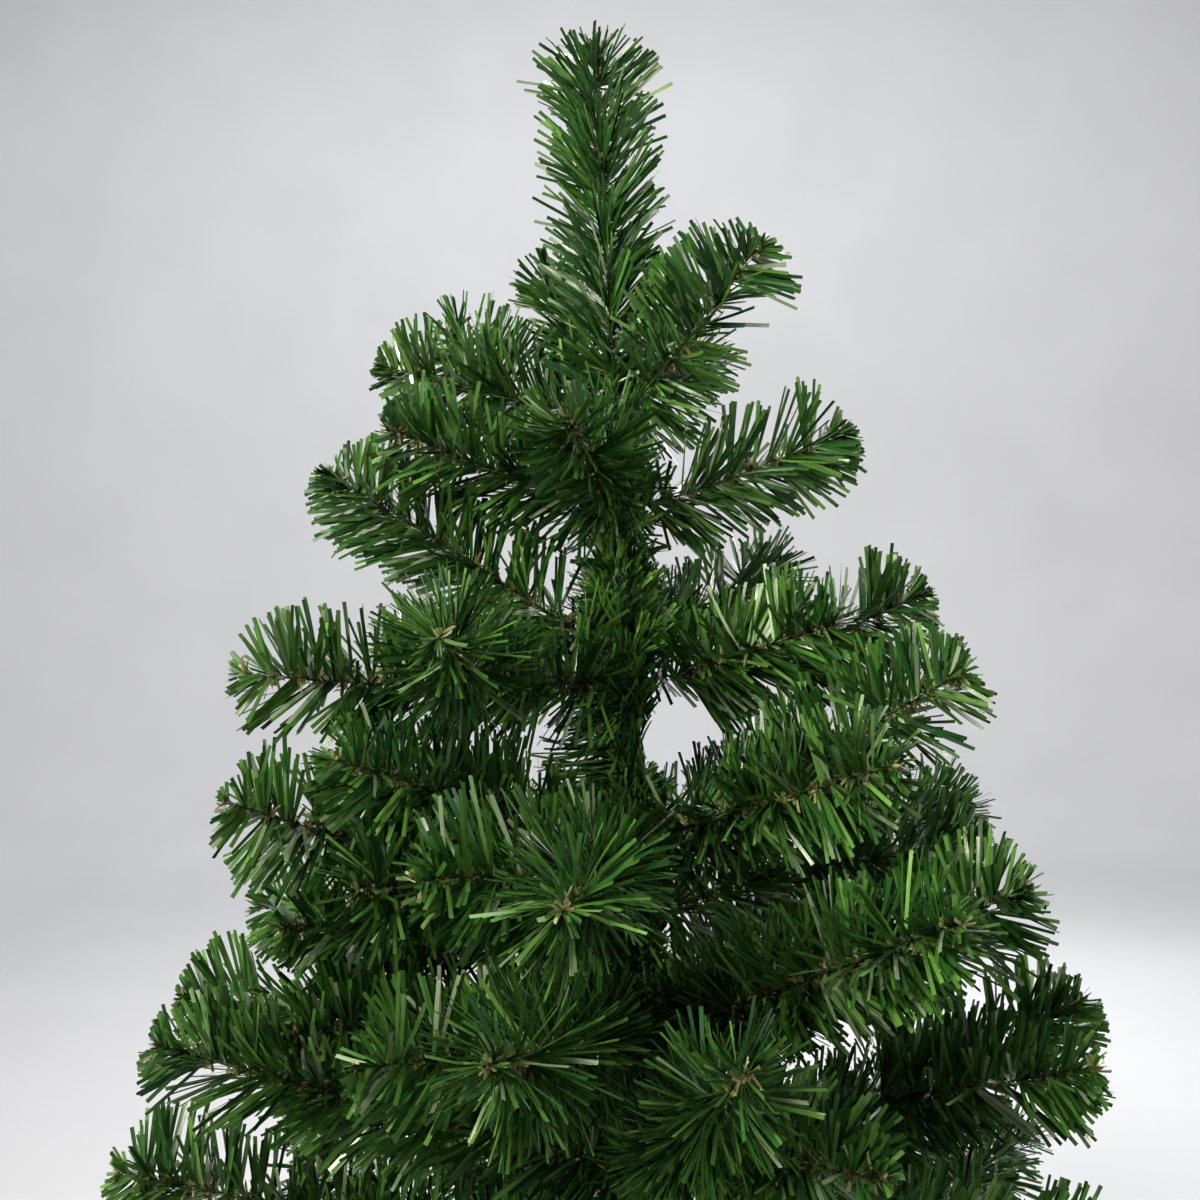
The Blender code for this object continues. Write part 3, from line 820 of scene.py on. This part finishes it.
def makeGarland():
    chance = np.random.default_rng(garland["seed"])
    run = garland["to"] - garland["from"]
    fans = int(run * garland["perMetre"] / (sum(garland["fanSize"]) - 1) * 2)
    fan, place = fanned(chance, fans, garland["fanSize"])
    count = len(fan)
    z = garland["from"] + run * (np.arange(fans) + chance.random(fans)) / fans
    turns = chance.random(fans)[fan] * 2 * math.pi + place * 0.05 + chance.normal(0, 0.08, count)
    lean = np.clip(chance.normal(*garland["lean"], fans), 6, 60)
    lean = np.where(chance.random(fans) < garland["stray"], chance.uniform(*garland["strayLean"], fans), lean)
    lean = np.where(chance.random(fans) < garland["hanging"], 180 - lean, lean)
    lean = np.radians(lean[fan] + chance.normal(0, 6, count))
    skew = np.radians(chance.normal(0, garland["skew"], fans)[fan])
    out = levelWay(turns + skew)
    root = levelWay(turns) * garland["radius"]
    root[:, 2] = z[fan] + place * garland["fanSpacing"]
    collars = np.array([height for height, *_ in tierPlan.values()])
    near = np.clip(1 - np.abs(z[:, None] - collars).min(axis=1) / garland["rootZone"], 0, 1)
    share = chance.random(fans)
    shortest, longest = ([a + (b - a) * near for a, b in zip(garland["length"], garland["rootLength"])])
    strips = {
        "root": root,
        **leaning(out, lean),
        "length": (shortest + (longest - shortest) * share)[fan] * chance.normal(1, 0.08, count),
        "width": garland["width"] * chance.normal(1, 0.12, count),
        "twist": np.radians(chance.normal(0, 45, fans)[fan] + chance.normal(0, 15, count)),
        "moreTwist": np.radians(chance.normal(0, 35, count)),
        "bend": chance.normal(0, 0.16, fans)[fan] + chance.normal(0, 0.08, count),
        "colour": chance.choice(3, fans, p=[share for share, _ in garland["colours"].values()])[fan],
    }
    strips = mergeStrips([clearOfOpening(clearOfPole(strips))]
                         + [clearOfPole(bunchStrips(chance, bunch)) for bunch in bunches.values()])
    for i, (name, (_, hexColour)) in enumerate(garland["colours"].items()):
        finish = pvcFilm(name + "_pvc_film", hexColour, garland["roughness"])
        piece = stripMesh(name, chosen(strips, strips["colour"] == i), finish)
        standsFor(piece, ["pole"])
    print(f"garland: {len(strips['length'])} strips")


makeGarland()


# Pole: two sections of enamelled steel tube, the lower one swaged to a sleeve, and pressed collars

pole = {
    "radius": 0.0095,
    "upperRadius": 0.0080,
    "foot": 0.012,
    "top": 0.994,
    "sleeveRadius": 0.0108,
    "sleeveLength": 0.050,
    "flare": (0.003, 0.001),  # of its lower end, below and above
    "jointHeight": 0.625,
    "collarRadius": 0.0130,
    "collarHeight": 0.012,
    "sides": 48,
    "edge": 0.0008,  # rounding
    # a rolled ring of the sleeve: half its width, half the width of its floor, and its depth
    "ring": (0.0022, 0.0008, 0.0006),
    # the collar's groove the same, and how far the collar stays inside its solid
    "groove": (0.0012, 0.0006, 0.0006),
    "collarInset": 0.0006,
    "ear": (0.0018, 0.0056, 0.0090),
    "earEdge": 0.0005,
}


def turnedRing(shape, profile, sides, closed=False):
    # skins a profile of (radius, height) turned about the Z axis
    skinRows(shape, [ringOf(shape, radius, z, sides) for radius, z in profile], closed)


# Enamelled steel: dark green stove enamel, smooth and glossy with a slight orange peel
def enamelledSteel():
    made, tree, shader = newMaterial("dark_green_enamelled_steel")
    setShader(shader, Metallic=0.0, IOR=1.5, Roughness=0.25, Coat_Weight=0.3, Coat_Roughness=0.12)
    place = addNode(tree, "ShaderNodeTexCoord").outputs["Object"]
    # orange peel with cells of about 1.5 mm, and cloudy patches of about 20 mm
    peel = addNode(tree, "ShaderNodeTexNoise", {"Scale": 1 / 0.0015, "Detail": 1.0}, Vector=place)
    cloud = addNode(tree, "ShaderNodeTexNoise", {"Scale": 1 / 0.020, "Detail": 3.0}, Vector=place)
    colour = colourRamp(tree, ((0.3, "#10281a"), (0.7, "#17351f")), cloud.outputs["Fac"])
    tree.links.new(colour, shader.inputs["Base Color"])
    rough = addNode(tree, "ShaderNodeMapRange", {"To Min": 0.18, "To Max": 0.36}, Value=cloud.outputs["Fac"])
    tree.links.new(rough.outputs[0], shader.inputs["Roughness"])
    bump = addNode(tree, "ShaderNodeBump", {"Strength": 0.15, "Distance": 0.0003}, Height=peel.outputs["Fac"])
    tree.links.new(bump.outputs["Normal"], shader.inputs["Normal"])
    return made


def makePole(finish):
    edge = pole["edge"]
    joint, sleeve = pole["jointHeight"], pole["jointHeight"] - pole["sleeveLength"]
    radius, foot = pole["radius"], pole["foot"]
    profile = [(0, foot), (radius - edge, foot), (radius, foot + edge)]
    profile += [(radius, sleeve - pole["flare"][0]), (pole["sleeveRadius"], sleeve + pole["flare"][1])]
    # three rolled rings on the sleeve
    wide, narrow, depth = pole["ring"]
    for k in range(3):
        z = sleeve + pole["sleeveLength"] * (0.25 + 0.25 * k)
        profile += [(pole["sleeveRadius"], z - wide), (pole["sleeveRadius"] - depth, z - narrow),
                    (pole["sleeveRadius"] - depth, z + narrow), (pole["sleeveRadius"], z + wide)]
    profile += [(pole["sleeveRadius"], joint - edge), (pole["sleeveRadius"] - edge, joint)]
    profile += [(pole["upperRadius"], joint), (pole["upperRadius"], pole["top"] - edge)]
    profile += [(pole["upperRadius"] - edge, pole["top"]), (0, pole["top"])]
    shape = bmesh.new()
    turnedRing(shape, profile, pole["sides"])
    piece = meshFromShape("pole_tube", shape, finish)
    return standsFor(piece, ["pole"])


def makeCollars(finish):
    shape = bmesh.new()
    for height, _, boughs in tierPlan.values():
        inner = pole["sleeveRadius"] if sleeveAt(height) else pole["upperRadius"]
        if height < pole["jointHeight"] - pole["sleeveLength"]:
            inner = pole["radius"]
        half, outer, edge = pole["collarHeight"] / 2, pole["collarRadius"] - pole["collarInset"], pole["edge"]
        wide, narrow, depth = pole["groove"]
        ring = [(inner, -half), (outer - edge, -half), (outer, -half + edge), (outer, -wide),
                (outer - depth, -narrow), (outer - depth, narrow), (outer, wide),
                (outer, half - edge), (outer - edge, half), (inner, half)]
        turnedRing(shape, [(r, height + z) for r, z in ring], pole["sides"], closed=True)
        for heading, *_ in boughs:
            addEar(shape, heading, height, outer)
    piece = meshFromShape("pole_collars", shape, finish)
    return standsFor(piece, ["pole"])


def sleeveAt(height):
    return pole["jointHeight"] - pole["sleeveLength"] <= height <= pole["jointHeight"]


def addEar(shape, heading, height, outer):
    # a pressed ear that the bough's wire hooks into
    made = bmesh.ops.create_cube(shape, size=1.0)["verts"]
    bmesh.ops.scale(shape, vec=pole["ear"], verts=made)
    edges = list(dict.fromkeys(e for v in made for e in v.link_edges))
    made = bmesh.ops.bevel(shape, geom=edges, offset=pole["earEdge"], segments=2, affect="EDGES")["verts"]
    turn = Matrix.Rotation(math.radians(heading), 4, "Z")
    place = Matrix.Translation(polar(outer, heading, height))
    bmesh.ops.transform(shape, matrix=place @ turn, verts=made)


def makePoleAndCollars():
    finish = enamelledSteel()
    makePole(finish)
    makeCollars(finish)
    print("pole: tube and collars")


makePoleAndCollars()


# Stand: a moulded socket with four legs and a clamping knob

stand = {
    "hubHeight": 0.125,
    "hubClear": 0.005,  # underside above the floor
    "hubHalfWidth": 0.028,
    "neckHalfWidth": 0.0165,
    "shoulderLow": 0.052,
    "shoulderHigh": 0.074,
    "bore": 0.0099,
    "boreEdge": 0.0008,
    "boreFloor": 0.0117,
    "legReach": 0.200,
    "legWidth": 0.024,
    "legRootHeight": 0.046,
    "legUnderside": 0.010,  # above the floor, between the socket and the foot
    "legShoulder": (0.030, 0.006),  # from the leg's root, out and down
    "toe": (0.010, 0.016, 0.010),  # length of its slope, height where that starts and ends
    "foot": (0.036, 0.048),  # length on the floor and above it
    "flankRim": 0.0032,
    "flankSlope": 0.0005,
    "flankDepth": 0.0035,
    "legRounding": 0.0007,
    "knobHeight": 0.102,
    "knobRadius": 0.012,
    "knobSides": 64,
    "knobLobes": 8,
    "lobeDepth": 0.0008,
    "rounding": 0.0014,
}


# ABS: moulded with a fine spark texture, dark green, a satin shine that lifts on the edges
def mouldedPlastic():
    made, tree, shader = newMaterial("dark_green_moulded_abs")
    setShader(shader, Metallic=0.0, IOR=1.53, Roughness=0.42)
    place = addNode(tree, "ShaderNodeTexCoord").outputs["Object"]
    # spark texture of about 0.5 mm, drawn at 1 mm so that it shows
    grain = addNode(tree, "ShaderNodeTexNoise", {"Scale": 1 / 0.001, "Detail": 2.0}, Vector=place)
    cloud = addNode(tree, "ShaderNodeTexNoise", {"Scale": 1 / 0.030, "Detail": 2.0}, Vector=place)
    colour = colourRamp(tree, ((0.3, "#1b4524"), (0.7, "#24552d")), cloud.outputs["Fac"])
    tree.links.new(colour, shader.inputs["Base Color"])
    rough = addNode(tree, "ShaderNodeMapRange", {"To Min": 0.36, "To Max": 0.52}, Value=grain.outputs["Fac"])
    tree.links.new(rough.outputs[0], shader.inputs["Roughness"])
    bump = addNode(tree, "ShaderNodeBump", {"Strength": 0.25, "Distance": 0.0003},
                   Height=grain.outputs["Fac"])
    tree.links.new(bump.outputs["Normal"], shader.inputs["Normal"])
    return made


def applyModifiers(piece):
    graph = bpy.context.evaluated_depsgraph_get()
    piece.data = bpy.data.meshes.new_from_object(piece.evaluated_get(graph))
    piece.modifiers.clear()


def softenEdges(piece, width, segments=3):
    modifier = piece.modifiers.new("edges", "BEVEL")
    modifier.width = width
    modifier.segments = segments
    modifier.limit_method = "ANGLE"
    modifier.angle_limit = math.radians(25)
    modifier.harden_normals = False
    applyModifiers(piece)
    piece.data.shade_smooth()
    piece.data.set_sharp_from_angle(angle=math.radians(40))


def makeHub(finish):
    outward = 1 / math.cos(math.pi / 8)
    outline = ((stand["hubHalfWidth"], stand["hubClear"]), (stand["hubHalfWidth"], stand["shoulderLow"]),
               (stand["neckHalfWidth"], stand["shoulderHigh"]), (stand["neckHalfWidth"], stand["hubHeight"]),
               (stand["bore"] + stand["boreEdge"], stand["hubHeight"]),
               (stand["bore"], stand["hubHeight"] - stand["boreEdge"]),
               (stand["bore"], stand["boreFloor"]), (0, stand["boreFloor"]))
    shape = bmesh.new()
    rows = [ringOf(shape, half * outward, z, 8, 22.5) for half, z in outline]
    skinRows(shape, rows)
    shape.faces.new(rows[0][::-1])
    piece = meshFromShape("stand_socket", shape, finish)
    softenEdges(piece, stand["rounding"])
    return standsFor(piece, ["stand_hub"])


def makeLegs(finish):
    root = stand["hubHalfWidth"] + gap
    reach, high = stand["legReach"], stand["legRootHeight"]
    under, (along, down), (slope, toeHigh, toeLow) = stand["legUnderside"], stand["legShoulder"], stand["toe"]
    outline = ((root, under), (root, high), (root + along, high - down), (reach - slope, toeHigh),
               (reach, toeLow), (reach, 0.0), (reach - stand["foot"][0], 0.0),
               (reach - stand["foot"][1], under))
    shape = bmesh.new()
    half = stand["legWidth"] / 2
    sides = [[shape.verts.new((x, y, z)) for x, z in outline] for y in (-half, half)]
    for k in range(len(outline)):
        m = (k + 1) % len(outline)
        shape.faces.new((sides[0][k], sides[0][m], sides[1][m], sides[1][k]))
    flanks = [shape.faces.new(sides[0]), shape.faces.new(sides[1])]
    bmesh.ops.recalc_face_normals(shape, faces=shape.faces)
    # each flank is sunk inside a rim
    for flank in flanks:
        bmesh.ops.inset_region(shape, faces=[flank], thickness=stand["flankRim"], depth=0.0)
        bmesh.ops.inset_region(shape, faces=[flank], thickness=stand["flankSlope"],
                               depth=-stand["flankDepth"])
    first = meshFromShape("stand_foot_1", shape, finish)
    softenEdges(first, stand["legRounding"], 2)
    standsFor(first, ["stand_leg_1"])
    for k in range(1, 4):
        mesh = first.data.copy()
        mesh.transform(Matrix.Rotation(math.radians(90 * k), 4, "Z"))
        standsFor(addObject(f"stand_foot_{k + 1}", mesh), [f"stand_leg_{k + 1}"])


def makeKnob(finish):
    # a screw, and a grip with lobes round it: radius, and distance from the socket
    root, full, sides = stand["neckHalfWidth"] + gap, stand["knobRadius"], stand["knobSides"]
    profile = ((0.0, root), (0.0035, root), (0.0035, root + 0.0100), (full - 0.0012, root + 0.0115),
               (full, root + 0.0135), (full, root + 0.0205), (full - 0.0015, root + 0.0225),
               (full - 0.0045, root + 0.0230), (0.0, root + 0.0222))
    shape = bmesh.new()
    rows = [ringOf(shape, radius, z, sides) for radius, z in profile]
    for (radius, z), row in zip(profile, rows):
        if radius > 0.009:
            for k, vertex in enumerate(row):
                grip = stand["lobeDepth"] * (1 - math.cos(2 * math.pi * stand["knobLobes"] * k / sides))
                vertex.co = polar(radius - grip, 360 * k / sides, z)
    skinRows(shape, rows)
    piece = meshFromShape("stand_clamp_knob", shape, finish)
    turn = Matrix.Translation((0, 0, stand["knobHeight"])) @ Matrix.Rotation(math.radians(90), 4, "X")
    piece.data.transform(turn)
    return standsFor(piece, ["stand_knob"])


def makeStand():
    finish = mouldedPlastic()
    makeHub(finish)
    makeLegs(finish)
    makeKnob(finish)
    print("stand: socket, four feet and knob")


makeStand()


# Studio: a pale floor that curves up into a round backdrop, soft light and the camera

studio = {
    "floorRadius": 3.4,
    "curve": 1.6,
    "wallTop": 5.5,
    "backdrop": ("#c8c9cc", "#c2c3c6"),  # the two greys of its faint mottle
    "world": "#d9d9d9",
    "worldStrength": 0.03,
    # place, what it is aimed at, width, power in watts, colour
    "lights": {
        "key": ((-1.5, -1.6, 1.5), (0, 0, 0.70), 0.55, 40.5, "#fff6ea"),
        "lamp": ((-0.4, -1.2, 1.7), (0, 0, 0.75), 0.12, 9, "#fff6ea"),
        "leftLamp": ((-1.5, -0.5, 1.4), (0, 0, 0.70), 0.14, 14, "#fff6ea"),
        "rightLamp": ((1.3, -1.0, 1.6), (0, 0, 0.75), 0.12, 8, "#fff6ea"),
        "fill": ((1.9, -1.3, 1.2), (0, 0, 0.70), 1.2, 6.5, "#eef3ff"),
        "sky": ((0.2, 0.2, 4.2), (0, 0, 0.60), 2.2, 60, "#ffffff"),
        "back": ((0.9, 2.2, 1.6), (0, 0, 0.65), 1.2, 20, "#ffffff"),
        "wall": ((0.0, 2.0, 3.4), (0, 4.6, 1.0), 1.8, 85, "#ffffff"),
    },
}


def makeBackdrop():
    made, tree, shader = newMaterial("matt_painted_backdrop")
    setShader(shader, Roughness=0.9)
    place = addNode(tree, "ShaderNodeTexCoord").outputs["Object"]
    mottle = addNode(tree, "ShaderNodeTexNoise", {"Scale": 1 / 0.4, "Detail": 2.0}, Vector=place)
    light, dark = studio["backdrop"]
    colour = colourRamp(tree, ((0.2, light), (0.8, dark)), mottle.outputs["Fac"])
    tree.links.new(colour, shader.inputs["Base Color"])
    radius, curve = studio["floorRadius"], studio["curve"]
    profile = [(0, 0.0), (radius, 0.0)]
    profile += [(radius + curve * math.sin(math.radians(a)), curve * (1 - math.cos(math.radians(a))))
                for a in range(6, 91, 6)]
    profile += [(radius + curve, studio["wallTop"])]
    shape = bmesh.new()
    turnedRing(shape, profile, 96)
    floor = meshFromShape("studio_floor", shape, made, 60)


def makeLights():
    for name, (place, target, width, power, hexColour) in studio["lights"].items():
        light = bpy.data.lights.new(name, "AREA")
        light.size = width
        light.energy = power
        light.color = linear(hexColour)[:3]
        lamp = addObject(name, light)
        lamp.location = place
        lamp.rotation_euler = (Vector(target) - Vector(place)).to_track_quat("-Z", "Y").to_euler()
    world = bpy.data.worlds.new("studio")
    bpy.context.scene.world = world
    world.use_nodes = True
    sky = world.node_tree.nodes["Background"]
    sky.inputs["Color"].default_value = linear(studio["world"])
    sky.inputs["Strength"].default_value = studio["worldStrength"]


photoCamera = {
    "place": (-0.012, -0.741, 0.878),  # level, near the tree, looking along +Y
    "roll": -2.5,
    "lens": 39,  # on a 36 mm sensor
}


def makeCamera():
    lens = bpy.data.cameras.new("camera")
    lens.lens = photoCamera["lens"]
    lens.sensor_width = 36
    lens.clip_start = 0.02
    camera = addObject("camera", lens)
    level = Matrix.Rotation(math.radians(90), 4, "X")
    roll = Matrix.Rotation(math.radians(photoCamera["roll"]), 4, "Z")
    camera.matrix_world = Matrix.Translation(photoCamera["place"]) @ level @ roll
    bpy.context.scene.camera = camera
    bpy.context.scene.view_settings.view_transform = "Standard"
    bpy.context.scene.view_settings.look = "Medium High Contrast"


makeBackdrop()
makeLights()
makeCamera()
print("studio: backdrop, lights and camera")

bpy.context.view_layer.update()
